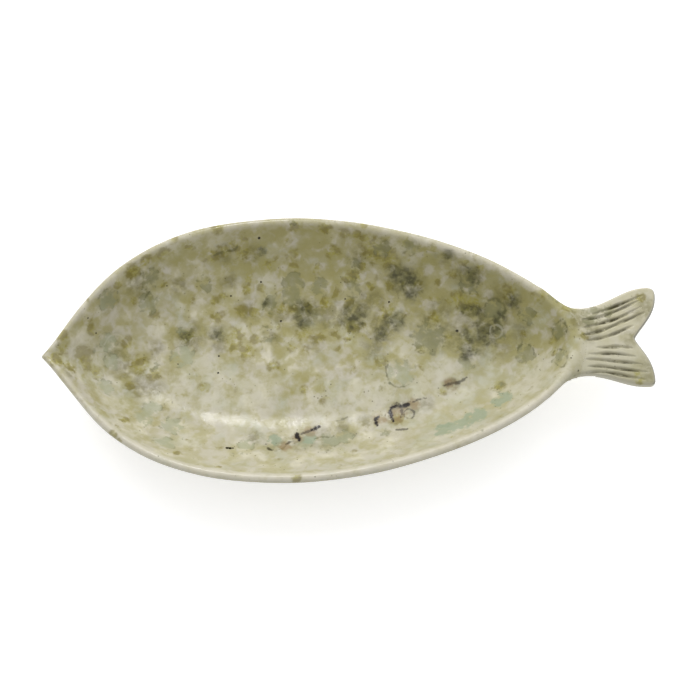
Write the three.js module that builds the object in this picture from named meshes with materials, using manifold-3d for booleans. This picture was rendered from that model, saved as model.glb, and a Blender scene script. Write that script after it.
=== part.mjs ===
// A fish-shaped stoneware serving platter.
// The bowl is pressed over a mould, the forked tail fin is cut from a slab, carved with fin rays
// and luted to the end of the bowl, and the foot ring is luted under the flat of the base.
// Millimetres, +Z up, nose towards -X and tail towards +X. The origin is on the table, in the middle
// of the length and of the width.
import * as THREE from "three";
import { mergeVertices } from "three/addons/utils/BufferGeometryUtils.js";
import Module from "manifold-3d";

const wasm = await Module();
wasm.setup();

const degrees = THREE.MathUtils.degToRad;

// Body outline, seen from above. Its widest station is x = 0 while the pieces are made.
const NOSE_REACH = 153.8; // widest station to the tip of the nose
const TAIL_REACH = 177; // widest station to the outside of the bowl's tail end
const BODY_WIDTH = 173; // over the rim
const FAR_NOSE_ANGLE = degrees(49.5); // centre line to the far flank at the tip
const NEAR_NOSE_ANGLE = degrees(44.6);
const NOSE_OFFSET = -1.8; // the hand-cut tip lies a little off the centre line
const NOSE_FLANK = 39; // how far the outline keeps the nose's angle
const NOSE_BELLY = 109; // how far the outline keeps the widest station's direction towards the nose
const TAIL_BELLY = 70; // and towards the tail
const TAIL_BLUNTNESS = 44; // how far the round tail end keeps its square direction

// Rim and wall
const RIM_HEIGHT = 45; // table to rim crest at the widest station
const NOSE_DIP = 3.5; // the crest runs down to the nose
const TAIL_DIP = 2.5; // and to the tail
const RIM_THICKNESS = 6;
const WALL_LEAN = degrees(60); // slope of the wall where it meets the rim, at the widest station
const NOSE_LEAN = degrees(34); // the nose is a gentle lip
const TAIL_LEAN = degrees(48);

// Flat floor inside the bowl, and the flat of the base under it
const FLOOR_WIDTH = 62;
const FLOOR_NOSE_SETBACK = 60; // tip of the nose to the start of the flat
const FLOOR_TAIL_SETBACK = 56; // end of the flat to the outside of the bowl's tail end
const FLOOR_THICKNESS = 6;
const NOSE_ROUNDING = 32; // how far half-way up the wall the round of the nose keeps its square direction

// Foot ring
const FOOT_HEIGHT = 5;
const FOOT_WIDTH = 7;
const FOOT_INSET = 2.5; // edge of the base flat to the ring
const FOOT_TAPER = 1; // the ring narrows by this much on each side towards the table

// Tail fin, measured along the fish from the outside of the bowl's tail end
const NECK_REACH = 3;
const NECK_WIDTH = 43.8;
const FORK_REACH = 34.6;
const FAR_LOBE_REACH = 49.2;
const FAR_LOBE_SPAN = 33.9; // centre line to the lobe's outer edge
const FAR_LOBE_CORNER = 6;
const NEAR_LOBE_REACH = 45.3;
const NEAR_LOBE_SPAN = 30.9;
const NEAR_LOBE_CORNER = 3.6;
const SHOULDER_SETBACK = 22; // how far the fin's root laps forward along the bowl's flanks
const ROOT_TRIM = 10; // clay behind the shoulders that is cut away when the root is scribed to the bowl
const FIN_OFFSET = 1.6; // the fin sits a little to the far side of the centre line
const FIN_DROP = 2.2; // fin's top below the rim crest, at the root
const FIN_RISE = 3; // from root to tip
const FIN_ROOT_THICKNESS = 9;
const FIN_TIP_THICKNESS = 7;
const FIN_EDGE_ROUND = 2.4;
const LUTING_GAP = 0.3; // slip joint between fin and bowl

// Carved fin rays
const RAYS_PER_LOBE = 5;
const RAY_WIDTH = 3.4;
const RAY_DEPTH = 1.5;
const RAY_ROOT_REACH = 5; // where the gouge goes in
const RAY_MARGIN = 5; // bare edge that the gouge leaves at the lobe's end

// Facets
const SPINE_SHARE = 0.8; // length of the line that the flat floor's facets meet on, against the floor's
const NOSE_STATIONS = 20;
const TAIL_STATIONS = 22;
const WALL_STEPS = 9;
const RIM_STEPS = 6;
const FIN_CURVE_STEPS = 8;
const FIN_EDGE_STEPS = 3;
const GOUGE_SIDES = 10;
const GOUGE_STEPS = 10;

// Values that follow from the sizes above
const RIM_RADIUS = RIM_THICKNESS / 2;
const FLOOR_TOP = FOOT_HEIGHT + FLOOR_THICKNESS;
const NOSE_X = RIM_RADIUS - NOSE_REACH; // middle of the rim at the nose
const END_X = TAIL_REACH - RIM_RADIUS; // middle of the rim at the tail end
const FLOOR_NOSE_X = FLOOR_NOSE_SETBACK - NOSE_REACH;
const FLOOR_END_X = TAIL_REACH - FLOOR_TAIL_SETBACK;
const LOBES = [
  { side: 1, tip: TAIL_REACH + FAR_LOBE_REACH, span: FAR_LOBE_SPAN, corner: FAR_LOBE_CORNER },
  { side: -1, tip: TAIL_REACH + NEAR_LOBE_REACH, span: NEAR_LOBE_SPAN, corner: NEAR_LOBE_CORNER },
];
const FORK_X = TAIL_REACH + FORK_REACH;
const NECK_X = TAIL_REACH + NECK_REACH;
const FIN_TIP_X = Math.max(...LOBES.map((lobe) => lobe.tip));
const FIN_ROOT_TOP = RIM_HEIGHT - TAIL_DIP - FIN_DROP;

const point = (x, y) => new THREE.Vector2(x, y);

// One flank of a fish outline from nose to tail end, as two curves that meet at the widest station.
function flank(nose, noseHandle, halfWidth, bellies, end, endHandle) {
  const widest = point(0, halfWidth);
  return [
    new THREE.CubicBezierCurve(nose, noseHandle, point(-bellies.nose, halfWidth), widest),
    new THREE.CubicBezierCurve(widest, point(bellies.tail, halfWidth), endHandle, end),
  ];
}

// Middle of the rim, on the far (+1) or near (-1) side.
function rimFlank(side) {
  const nose = point(NOSE_X, NOSE_OFFSET);
  const angle = side > 0 ? FAR_NOSE_ANGLE : NEAR_NOSE_ANGLE;
  const flankRun = point(Math.cos(angle), side * Math.sin(angle));
  return flank(
    nose,
    nose.clone().addScaledVector(flankRun, NOSE_FLANK),
    side * (BODY_WIDTH / 2 - RIM_RADIUS),
    { nose: NOSE_BELLY, tail: TAIL_BELLY },
    point(END_X, 0),
    point(END_X, side * TAIL_BLUNTNESS),
  );
}

// Edge of the flat floor: two quarter ellipses on each side, as single cubic curves.
function floorFlank(side) {
  const quarterEllipse = 0.5523; // handle length of a cubic curve that follows a quarter ellipse
  const halfWidth = (side * FLOOR_WIDTH) / 2;
  return flank(
    point(FLOOR_NOSE_X, 0),
    point(FLOOR_NOSE_X, quarterEllipse * halfWidth),
    halfWidth,
    { nose: -quarterEllipse * FLOOR_NOSE_X, tail: quarterEllipse * FLOOR_END_X },
    point(FLOOR_END_X, 0),
    point(FLOOR_END_X, quarterEllipse * halfWidth),
  );
}

// Points along a flank, from the nose to the tail end.
function sample([noseCurve, tailCurve]) {
  return [...noseCurve.getPoints(NOSE_STATIONS), ...tailCurve.getPoints(TAIL_STATIONS).slice(1)];
}

// Half-way up the wall the outline has a round nose, so that no crease runs down from the pointed one.
function middleFlank(side) {
  const rim = rimFlank(side);
  const floor = floorFlank(side);
  const middle = (curve, key) => floor[curve][key].clone().lerp(rim[curve][key], 0.5);
  const nose = middle(0, "v0");
  return [
    new THREE.CubicBezierCurve(nose, point(nose.x, side * NOSE_ROUNDING), middle(0, "v2"), middle(0, "v3")),
    new THREE.CubicBezierCurve(middle(1, "v0"), middle(1, "v1"), middle(1, "v2"), middle(1, "v3")),
  ];
}

// A value that leaves its size at the widest station, slowly at first, for another at the nose or tail end.
function blend(x, nose, widest, tail) {
  return x < 0 ? widest + (nose - widest) * (x / NOSE_X) ** 2 : widest + (tail - widest) * (x / END_X) ** 2;
}

// Stations once round the bowl: nose to tail end on the far side, then back on the near side.
// Each holds the plan points of the wall's foot, middle and rim, and the lean and height of the rim.
function makeStations() {
  const side = (sign) => {
    const rim = sample(rimFlank(sign));
    const middle = sample(middleFlank(sign));
    const floor = sample(floorFlank(sign));
    return rim.map((p, i) => ({
      rim: p,
      middle: middle[i],
      floor: floor[i],
      spine: point(SPINE_SHARE * floor[i].x, 0),
      run: p.distanceTo(floor[i]),
      lean: blend(p.x, NOSE_LEAN, WALL_LEAN, TAIL_LEAN),
      crest: blend(p.x, RIM_HEIGHT - NOSE_DIP, RIM_HEIGHT, RIM_HEIGHT - TAIL_DIP),
    }));
  };
  return [...side(1), ...side(-1).slice(1, -1).reverse()];
}

// Plan point at a distance out from the floor's edge: inside the floor, up the wall, or past the rim's middle.
function planPoint({ floor, middle, rim, run }, out) {
  if (out < 0) return floor.clone().addScaledVector(middle.clone().sub(floor).normalize(), out);
  if (out > run) return rim.clone().addScaledVector(rim.clone().sub(middle).normalize(), out - run);
  const wall = new THREE.QuadraticBezierCurve(floor, middle, rim);
  return wall.getPoint(out / run);
}

const stations = makeStations();

// Rim bead at one station as points from the inner to the outer wall, with the wall's curve on each side.
// Coordinates are the distance out from the floor's edge and the height.
function wallCurves(station, grow = 0) {
  const lean = point(Math.cos(station.lean), Math.sin(station.lean));
  const inward = point(-lean.y, lean.x);
  const bead = point(station.run, station.crest - RIM_RADIUS);
  const radius = RIM_RADIUS + grow;
  const innerTop = bead.clone().addScaledVector(inward, radius);
  const outerTop = bead.clone().addScaledVector(inward, -radius);
  const floorRun = 0.5; // share of the run that the wall's foot stays flat
  const rimRise = 0.35; // share of the rise over which the wall keeps its lean below the rim
  const wall = (foot, top) =>
    new THREE.CubicBezierCurve(
      foot,
      point(floorRun * top.x, foot.y),
      top.clone().addScaledVector(lean, -rimRise * (top.y - foot.y)),
      top,
    );
  const quarter = Math.PI / 2;
  const [from, to] = [station.lean + quarter, station.lean - quarter];
  const arc = new THREE.EllipseCurve(bead.x, bead.y, radius, radius, from, to, true);
  return {
    inner: wall(point(0, FLOOR_TOP), innerTop),
    outer: wall(point(0, FOOT_HEIGHT - grow), outerTop),
    bead: arc.getPoints(RIM_STEPS),
  };
}

// A solid swept round the stations. The section gives each station's points as [distance out, height];
// a closed section makes a ring, and an open one is closed along the floor's centre line.
function sweep(section, closed) {
  const positions = [];
  const indices = [];
  const rows = stations.map((station) => {
    const row = section(station).map(([out, z]) => {
      const p = planPoint(station, out);
      return new THREE.Vector3(p.x, p.y, z);
    });
    if (!closed) {
      row.unshift(new THREE.Vector3(station.spine.x, station.spine.y, row[0].z));
      row.push(new THREE.Vector3(station.spine.x, station.spine.y, row.at(-1).z));
    }
    return row;
  });
  const length = rows[0].length;
  rows.forEach((row) => row.forEach((p) => positions.push(p.x, p.y, p.z)));
  const spans = closed ? length : length - 1;
  for (let i = 0; i < rows.length; i++) {
    for (let j = 0; j < spans; j++) {
      const here = i * length;
      const next = ((i + 1) % rows.length) * length;
      const k = (j + 1) % length;
      indices.push(here + j, next + k, here + k, here + j, next + j, next + k);
    }
  }
  const geometry = new THREE.BufferGeometry();
  geometry.setAttribute("position", new THREE.Float32BufferAttribute(positions, 3));
  geometry.setIndex(indices);
  return geometry;
}

const pairs = (points) => points.map((p) => [p.x, p.y]);

// Bowl: floor, inner wall, rounded rim, outer wall and base flat.
function makeBowl() {
  return sweep((station) => {
    const { inner, outer, bead } = wallCurves(station);
    const innerWall = inner.getPoints(WALL_STEPS).slice(0, -1);
    const outerWall = outer.getPoints(WALL_STEPS).slice(0, -1).reverse();
    return pairs([...innerWall, ...bead, ...outerWall]);
  }, false);
}

// The bowl's outside without its hollow, grown by the joint's gap, which the fin's root is scribed to.
function makeScribe() {
  const capHeight = RIM_HEIGHT + FIN_RISE + FIN_ROOT_THICKNESS;
  return sweep((station) => {
    const { outer, bead } = wallCurves(station, LUTING_GAP);
    const crest = Math.round(RIM_STEPS / 2);
    const outerWall = outer.getPoints(WALL_STEPS).slice(0, -1).reverse();
    return [[0, capHeight], [bead[crest].x, capHeight], ...pairs([...bead.slice(crest), ...outerWall])];
  }, false);
}

// Foot ring: a tapered band under the base flat, a little inside its edge.
function makeFootRing() {
  const outer = -FOOT_INSET;
  const inner = -FOOT_INSET - FOOT_WIDTH;
  return sweep(
    () => [
      [inner, FOOT_HEIGHT],
      [outer, FOOT_HEIGHT],
      [outer - FOOT_TAPER, 0],
      [inner + FOOT_TAPER, 0],
    ],
    true,
  );
}

// Where the fin's root starts on a flank: on the middle of the rim, along the flank's own direction.
function shoulder(side) {
  const [, tailCurve] = rimFlank(side);
  let [before, after] = [0, 1];
  while (after - before > 1e-6) {
    const t = (before + after) / 2;
    if (tailCurve.getPoint(t).x < TAIL_REACH - SHOULDER_SETBACK) before = t;
    else after = t;
  }
  return { start: tailCurve.getPoint(after), run: tailCurve.getTangent(after) };
}

// Outer edge of a lobe from the neck to its corner.
function lobeEdge({ side, tip, span, corner }) {
  const third = (tip - NECK_X) / 3;
  return new THREE.CubicBezierCurve(
    point(NECK_X, (side * NECK_WIDTH) / 2),
    point(NECK_X + third, (side * NECK_WIDTH) / 2),
    point(tip - corner - third, side * span),
    point(tip - corner, side * span),
  );
}

// One side of the fin from its root, past the neck and round the lobe's corner, in to the fork.
function finFlank(lobe) {
  const { side, tip, span, corner } = lobe;
  const root = shoulder(side);
  const edge = lobeEdge(lobe);
  const third = (NECK_X - root.start.x) / 3;
  const cornerEnd = point(tip, side * (span - corner));
  const turnIn = 0.45; // share of the span at which the lobe's end turns in
  const forkRun = point(0.27, 0.22); // shares of length and span where the last stretch to the fork starts
  const curves = [
    new THREE.CubicBezierCurve(
      root.start,
      root.start.clone().addScaledVector(root.run, third / 2),
      edge.v0.clone().sub(point(third, 0)),
      edge.v0,
    ),
    edge,
    new THREE.QuadraticBezierCurve(edge.v3, point(tip, side * span), cornerEnd),
    new THREE.CubicBezierCurve(
      cornerEnd,
      point(tip, side * span * turnIn),
      point(THREE.MathUtils.lerp(FORK_X, tip, forkRun.x), side * span * forkRun.y),
      point(FORK_X, 0),
    ),
  ];
  const trimmed = point(root.start.x - ROOT_TRIM, root.start.y);
  return [trimmed, ...curves.flatMap((curve, i) => curve.getPoints(FIN_CURVE_STEPS).slice(i ? 1 : 0))];
}

// Fin outline: out along the far side to the fork, and back along the near side.
function finOutline() {
  const [far, near] = LOBES.map(finFlank);
  return new THREE.Shape([...far, ...near.slice(0, -1).reverse()]);
}

// The fin's faces are planes: its top rises and its thickness falls evenly from root to tip.
const alongFin = (x) => (x - TAIL_REACH) / (FIN_TIP_X - TAIL_REACH);
const finTop = (x) => FIN_ROOT_TOP + FIN_RISE * alongFin(x);
const finThickness = (x) => THREE.MathUtils.lerp(FIN_ROOT_THICKNESS, FIN_TIP_THICKNESS, alongFin(x));

// Slab of clay cut to the fin's outline, with rounded edges.
function makeFinSlab() {
  const slab = new THREE.ExtrudeGeometry(finOutline(), {
    depth: FIN_ROOT_THICKNESS - 2 * FIN_EDGE_ROUND,
    bevelThickness: FIN_EDGE_ROUND,
    bevelSize: FIN_EDGE_ROUND,
    bevelOffset: -FIN_EDGE_ROUND,
    bevelSegments: FIN_EDGE_STEPS,
  });
  slab.translate(0, FIN_OFFSET, FIN_EDGE_ROUND - FIN_ROOT_THICKNESS);
  const place = slab.getAttribute("position");
  for (let i = 0; i < place.count; i++) {
    const x = place.getX(i);
    place.setZ(i, finTop(x) + (place.getZ(i) * finThickness(x)) / FIN_ROOT_THICKNESS);
  }
  return slab;
}

// One fin ray: a round gouge drawn along a line that fans out between the centre line and the lobe's edge.
function makeGouge(lobe, share) {
  const gougeRadius = (RAY_WIDTH ** 2 / 4 + RAY_DEPTH ** 2) / (2 * RAY_DEPTH);
  const edge = lobeEdge(lobe);
  const path = Array.from({ length: GOUGE_STEPS + 1 }, (_, i) => {
    const t = i / GOUGE_STEPS;
    const outer = edge.getPoint(t);
    const endX = THREE.MathUtils.lerp(FORK_X, lobe.tip, share) - RAY_MARGIN;
    const x = THREE.MathUtils.lerp(TAIL_REACH + RAY_ROOT_REACH, endX, t);
    const depth = RAY_DEPTH * Math.sin(Math.PI * t) ** 0.5;
    return new THREE.Vector3(x, FIN_OFFSET + share * outer.y, finTop(x) + gougeRadius - depth);
  });
  const section = new THREE.Shape();
  section.absarc(0, 0, gougeRadius, 0, 2 * Math.PI);
  return new THREE.ExtrudeGeometry(section, {
    steps: GOUGE_STEPS,
    curveSegments: GOUGE_SIDES,
    extrudePath: new THREE.CatmullRomCurve3(path),
    bevelEnabled: false,
  });
}

// A closed geometry as a solid that can be cut and joined, and back.
function solidFrom(geometry) {
  const bare = geometry.clone();
  bare.deleteAttribute("normal");
  bare.deleteAttribute("uv");
  const merged = mergeVertices(bare, 1e-4);
  return new wasm.Manifold(
    new wasm.Mesh({
      numProp: 3,
      vertProperties: new Float32Array(merged.getAttribute("position").array),
      triVerts: new Uint32Array(merged.index.array),
    }),
  );
}

function geometryFrom(solid) {
  const { vertProperties, triVerts } = solid.getMesh();
  const geometry = new THREE.BufferGeometry();
  geometry.setAttribute("position", new THREE.BufferAttribute(vertProperties, 3));
  geometry.setIndex(new THREE.BufferAttribute(triVerts, 1));
  geometry.computeVertexNormals();
  return geometry;
}

// Tail fin: the slab scribed to the bowl's end, then carved with its rays.
function makeTailFin() {
  let fin = solidFrom(makeFinSlab()).subtract(solidFrom(makeScribe()));
  for (const lobe of LOBES) {
    for (let ray = 0; ray < RAYS_PER_LOBE; ray++) {
      fin = fin.subtract(solidFrom(makeGouge(lobe, (ray + 0.5) / RAYS_PER_LOBE)));
    }
  }
  return geometryFrom(fin);
}

// Finishes
const glaze = new THREE.MeshStandardMaterial({ color: 0xb3ae90, roughness: 0.25, metalness: 0 });
const finGlaze = new THREE.MeshStandardMaterial({ color: 0xbdb79a, roughness: 0.28, metalness: 0 });
const bareClay = new THREE.MeshStandardMaterial({ color: 0xb49a7c, roughness: 0.85, metalness: 0 });

function piece(name, geometry, material) {
  const mesh = new THREE.Mesh(geometry, material);
  mesh.name = name;
  return mesh;
}

const platter = new THREE.Group();
const body = new THREE.Group();
body.position.x = (NOSE_REACH - FIN_TIP_X) / 2;
body.add(
  piece("bowl", geometryFrom(solidFrom(makeBowl())), glaze),
  piece("tail_fin", makeTailFin(), finGlaze),
  piece("foot_ring", geometryFrom(solidFrom(makeFootRing())), bareClay),
);
platter.add(body);

export default platter;
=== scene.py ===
import math
from contextlib import contextmanager

import bmesh
import bpy
import numpy as np
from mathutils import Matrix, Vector
from mathutils.bvhtree import BVHTree
from mathutils.kdtree import KDTree


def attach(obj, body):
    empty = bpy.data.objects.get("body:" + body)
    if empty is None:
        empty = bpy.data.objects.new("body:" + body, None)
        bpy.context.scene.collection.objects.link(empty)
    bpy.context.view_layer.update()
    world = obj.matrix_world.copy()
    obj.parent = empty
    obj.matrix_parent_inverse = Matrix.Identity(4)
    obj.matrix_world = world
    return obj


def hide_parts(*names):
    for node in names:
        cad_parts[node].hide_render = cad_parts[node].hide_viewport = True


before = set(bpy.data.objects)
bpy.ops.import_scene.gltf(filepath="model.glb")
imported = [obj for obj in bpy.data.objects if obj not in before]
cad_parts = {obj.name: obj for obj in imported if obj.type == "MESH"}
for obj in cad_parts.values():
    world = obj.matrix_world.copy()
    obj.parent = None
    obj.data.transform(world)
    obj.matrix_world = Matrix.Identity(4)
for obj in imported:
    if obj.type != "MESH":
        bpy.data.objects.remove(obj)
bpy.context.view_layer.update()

MM = 0.001

# Outline of the bowl, measured from its widest station
NOSE_REACH = 153.8 * MM
TAIL_REACH = 177 * MM
BODY_WIDTH = 173 * MM
NOSE_ANGLES = {1: math.radians(49.5), -1: math.radians(44.6)}
NOSE_OFFSET = -1.8 * MM
NOSE_FLANK = 39 * MM
NOSE_BELLY = 109 * MM
TAIL_BELLY = 70 * MM
TAIL_BLUNTNESS = 44 * MM

# Rim, wall and floor
RIM_HEIGHT = 45 * MM
NOSE_DIP = 3.5 * MM
TAIL_DIP = 2.5 * MM
RIM_RADIUS = 3 * MM
WALL_LEAN = math.radians(60)
NOSE_LEAN = math.radians(34)
TAIL_LEAN = math.radians(48)
FLOOR_WIDTH = 62 * MM
FLOOR_NOSE_SETBACK = 60 * MM
FLOOR_TAIL_SETBACK = 56 * MM
FLOOR_THICKNESS = 6 * MM
NOSE_ROUNDING = 32 * MM
SPINE_SHARE = 0.8

# Handles of the wall's curve: at the floor as a share of its run, below the rim as a share of its height
FLOOR_HANDLE = 0.5
RIM_HANDLE = 0.35

# Foot ring
FOOT_HEIGHT = 5 * MM
FOOT_WIDTH = 7 * MM
FOOT_INSET = 2.5 * MM
FOOT_TAPER = 1 * MM
FOOT_EDGE_ROUND = 1.2 * MM

# Tail fin, measured from the outside of the bowl's tail end
NECK_REACH = 3 * MM
NECK_WIDTH = 43.8 * MM
FORK_REACH = 34.6 * MM
LOBE_REACH = {1: 49.2 * MM, -1: 45.3 * MM}
LOBE_SPAN = {1: 33.9 * MM, -1: 30.9 * MM}
LOBE_CORNER = {1: 6 * MM, -1: 3.6 * MM}
SHOULDER_SETBACK = 22 * MM
ROOT_TRIM = 10 * MM
FIN_OFFSET = 1.6 * MM
FIN_DROP = 2.2 * MM
FIN_RISE = 3 * MM
FIN_ROOT_THICKNESS = 9 * MM
FIN_TIP_THICKNESS = 7 * MM
FIN_EDGE_ROUND = 2.6 * MM
LUTING_FILLET = 7 * MM
LUTING_SETBACK = 1.5 * MM
SHOULDER_THINNING = 0.3

# Handles of a lobe's inner edge: at its corner as a share of its span, and at the fork along and across
CORNER_HANDLE = 0.45
FORK_HANDLE = (0.27, 0.22)

# Carved fin rays in millimetres: along the fish from the bowl's end, and across from the fin's middle
FIN_RAYS = (
    ((9, 17), (25, 20.5), (41, 28.5)),
    ((2, 13), (15, 13.5), (39, 24.5)),
    ((3, 8), (17, 9.5), (40, 20.5)),
    ((1, 3), (19, 6), (42, 17)),
    ((4, -1), (20, 2), (34, 8)),
    ((10, -5), (22, -5), (33, -6.5)),
    ((5, -9), (20, -9), (34, -12)),
    ((3, -13), (20, -13), (38, -18)),
    ((4, -17.5), (19, -17.5), (41, -23)),
    ((3, -21), (18, -20.5), (39, -27.5)),
)
RAY_WIDTH = 3.4 * MM
RAY_END_WIDTH = 0.4
RAY_DEPTH = 1.9 * MM

# Unevenness of the carving: a seed, the sideways sway, the waves along a ray and their share of the depth
RAY_SEED = 7
RAY_SWAY = 0.3 * MM
RAY_WAVES = (1.1, 1.7, 2.9)
RAY_UNEVEN = 0.25

# Pale border of the fin, and how far up the skin faces where the painted shade on its edge starts, is full
# and ends
FIN_BORDER = 4 * MM
EDGE_FLAT = 0.98
EDGE_STEEP = 0.6
EDGE_WALL = 0.1

# Slow waves of the hand-pressed skin: length in millimetres, direction and phase
WOBBLE_DEPTH = 0.5 * MM
WOBBLE_WAVES = (
    (71, (1, 0.3, 0.5), 0.4),
    (47, (-0.5, 1, 0.4), 2.1),
    (33, (0.8, -0.7, 0.6), 4.0),
    (23, (0.2, 0.9, -1), 1.3),
)

# Nose of the well and crest of the tail, softened by hand
NOSE_SOFT_REACH = 115 * MM
SOFT_ROUNDS = 76
CREST_SOFTNESS = 0.25

# Spans of the bowl's section in which the rim's cream, the painted shade under it and its outer side fade
RIM_FADE_SPANS = 7
RIM_SHADE_SPANS = 10
OUTER_FADE_SPANS = 8

# Studio
FLOOR_WHITE = (0.86, 0.86, 0.86, 1)
FLOOR_PALE = (0.84, 0.84, 0.84, 1)
FLOOR_LIFT = 0.5
FLOOR_REACH = 4
FLOOR_CLOUDS = 0.5
FLOOR_ROUGHNESS = 0.8
AMBIENT = 0.68

# Softboxes: place, size, energy and whether the glaze mirrors them
SOFTBOXES = {
    "main_softbox": ((-0.1, 1.7, 1.5), (3.2, 2.2), 32.5, False),
    "accent_softbox": ((-0.16, 1.06, 1.308), (0.07, 0.45), 2.6, True),
    "glow_softbox": ((-0.17, 1.06, 1.308), (0.14, 0.6), 1.1, True),
}

# Blooms and specks of the glaze, and painted light and shade, by where they show in the frame: across, down
# and radius in its pixels
BLOOMS = {
    # Painted shade, mixed with darker patches of glaze
    "shade": (
        (225, 252, 11), (250, 253, 9), (140, 282, 15), (112, 345, 11), (124, 366, 13), (141, 388, 13),
        (190, 336, 15), (250, 311, 11), (304, 316, 15), (354, 317, 13), (382, 328, 14), (362, 259, 11),
        (405, 280, 18), (470, 277, 14), (505, 300, 15), (476, 310, 15), (488, 331, 24), (459, 333, 19),
        (430, 334, 20), (446, 256, 10), (468, 340, 12), (440, 312, 11), (580, 322, 11), (588, 332, 9),
        (650, 369, 12), (632, 337, 8), (520, 331, 10), (301, 441, 11), (328, 441, 13), (396, 415, 10),
        (275, 442, 11), (108, 300, 10), (345, 434, 9), (255, 438, 8), (560, 330, 10), (342, 424, 7),
        (366, 421, 9), (411, 409, 9), (426, 404, 7), (645, 309, 11), (330, 316, 17), (220, 345, 9),
        (272, 337, 9), (314, 344, 8), (155, 350, 8), (230, 280, 8), (180, 286, 8), (70, 372, 7),
        (152, 390, 11), (281, 315, 11), (371, 300, 11), (372, 346, 12), (647, 374, 11), (330, 446, 8),
        (322, 312, 10), (339, 322, 10), (374, 322, 9), (366, 308, 8), (276, 308, 8),
    ),
    # Painted light, some of it round the highlight, mixed with paler patches of glaze
    "light": (
        (410, 346, 14), (441, 371, 14), (206, 366, 16), (181, 391, 14), (255, 391, 18), (351, 400, 15),
        (515, 391, 15), (155, 330, 8), (266, 281, 9), (535, 380, 20), (215, 401, 16), (563, 376, 12),
        (548, 363, 12), (381, 395, 13), (610, 360, 9), (218, 241, 9), (320, 409, 11), (190, 440, 8),
        (86, 338, 8), (368, 404, 11), (332, 415, 7), (102, 385, 13), (116, 405, 12), (425, 380, 9),
        (362, 345, 7), (236, 420, 9), (170, 247, 10), (192, 240, 9), (400, 248, 10), (466, 262, 9),
        (410, 262, 7), (528, 390, 14), (573, 358, 8), (78, 348, 8), (590, 357, 10), (604, 370, 10),
        (622, 360, 10), (58, 347, 7), (94, 361, 8), (98, 377, 10),
    ),
    "stain": (
        (382, 419, 7), (398, 413, 9), (309, 431, 6), (298, 438, 5), (450, 385, 6), (284, 446, 6),
        (414, 404, 5),
    ),
    "olive": (
        (54, 359, 8), (63, 336, 5), (62, 349, 6), (70, 367, 6), (96, 373, 6), (84, 356, 9), (87, 365, 6),
        (91, 330, 5), (128, 343, 6), (133, 271, 7), (143, 263, 4), (118, 284, 4), (154, 313, 5),
        (187, 336, 7), (237, 334, 7), (139, 365, 8), (154, 374, 6), (130, 386, 4), (204, 389, 5),
        (164, 254, 6), (124, 420, 5), (177, 453, 4), (218, 228, 6), (243, 241, 5), (211, 256, 7),
        (225, 251, 5), (242, 252, 7), (269, 266, 4), (249, 279, 5), (248, 289, 5), (214, 300, 4),
        (295, 226, 6), (325, 228, 6), (344, 233, 5), (356, 234, 4), (405, 242, 6), (293, 255, 6),
        (333, 252, 6), (375, 250, 12), (354, 276, 7), (370, 286, 4), (325, 303, 5), (242, 311, 5),
        (255, 311, 5), (281, 308, 5), (352, 327, 6), (384, 313, 5), (217, 318, 5), (234, 346, 7),
        (246, 352, 7), (256, 340, 5), (304, 335, 7), (319, 338, 5), (291, 348, 4), (273, 366, 5),
        (304, 390, 4), (381, 363, 5), (388, 256, 10), (458, 299, 7), (472, 303, 9), (435, 318, 5),
        (509, 290, 6), (538, 296, 6), (499, 386, 6), (443, 391, 4), (398, 419, 6), (583, 336, 4),
        (641, 298, 4), (638, 374, 4), (640, 381, 4), (113, 435, 4), (119, 441, 3), (297, 478, 4),
        (218, 467, 3), (452, 437, 3),
    ),
    "green": (
        (108, 342, 8), (150, 278, 9), (108, 300, 9), (149, 303, 9), (112, 363, 7), (106, 388, 8),
        (183, 357, 10), (143, 418, 10), (172, 426, 10), (164, 443, 10), (293, 283, 9), (401, 373, 12),
        (428, 338, 14), (495, 311, 9), (526, 353, 9), (560, 329, 8), (560, 358, 8), (320, 287, 8),
        (330, 440, 9), (304, 443, 7), (345, 437, 7), (152, 408, 8), (246, 445, 7), (590, 316, 8),
        (606, 311, 6),
    ),
    "dark": (
        (218, 333, 7), (266, 303, 4), (305, 312, 10), (304, 322, 7), (353, 317, 12), (395, 321, 9),
        (381, 334, 7), (406, 281, 11), (395, 272, 7), (413, 293, 7), (449, 255, 5), (470, 275, 9),
        (464, 310, 5), (471, 311, 6), (478, 311, 5), (487, 332, 12), (502, 315, 5), (513, 301, 7),
        (468, 352, 8), (447, 385, 4), (453, 384, 5), (187, 337, 6), (467, 338, 7), (262, 251, 4),
        (496, 321, 5),
    ),
    "pale": (
        (275, 441, 7), (309, 439, 6), (447, 429, 11), (463, 424, 10), (477, 416, 11), (503, 400, 10),
    ),
    "pool": (
        (585, 328, 3), (602, 324, 3), (614, 308, 5), (627, 304, 5), (631, 308, 4), (614, 319, 4),
        (629, 318, 5), (638, 300, 3), (603, 346, 4), (622, 355, 4), (636, 363, 5), (633, 371, 5),
        (611, 370, 5), (592, 368, 4),
    ),
    "iron": (
        (227, 448, 1.2), (230, 448, 1.5), (233, 448, 0.9), (259, 238, 1.2), (261, 282, 0.8),
        (389, 302, 0.8), (345, 299, 0.8), (281, 321, 0.8), (231, 296, 0.8), (218, 373, 0.8),
        (457, 331, 1.4), (571, 358, 0.9), (167, 286, 0.7), (178, 364, 0.7), (219, 356, 0.8),
        (88, 318, 0.8), (96, 333, 0.8),
    ),
}

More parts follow.
